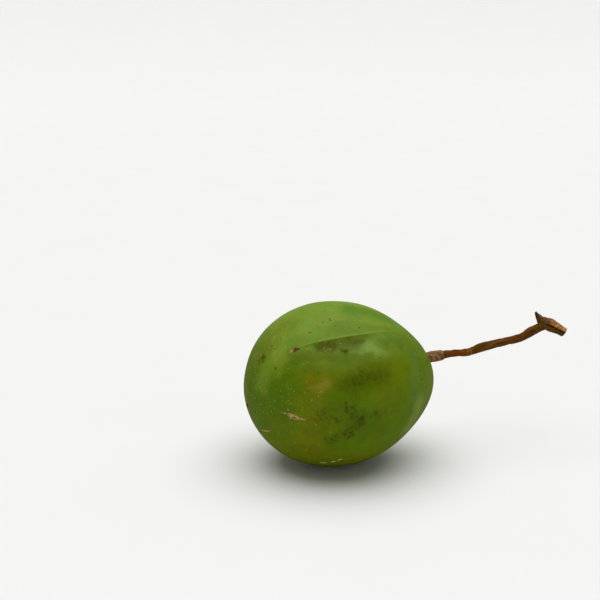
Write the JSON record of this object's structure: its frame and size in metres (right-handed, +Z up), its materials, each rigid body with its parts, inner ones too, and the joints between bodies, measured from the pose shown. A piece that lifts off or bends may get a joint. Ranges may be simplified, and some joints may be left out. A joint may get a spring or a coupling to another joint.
{
  "type": "green ambarella fruit",
  "caption": "Unripe green ambarella lying on its side, with a lengthwise fold and its own woody stalk ending in a stub of twig.",
  "frame": {"origin": "middle of the small flat spot on the underside that the fruit rests on", "axes": "+Z up; +X along the fruit's long axis towards the stalk; the fold is on the upper -Y side"},
  "size_m": [0.1367, 0.0693, 0.0625],
  "materials": {
    "skin": "waxy, satin",
    "bark": "rough bark"
  },
  "bodies": {
    "root": {"fruit": "skin", "stalk": "bark"}
  },
  "joints": []
}
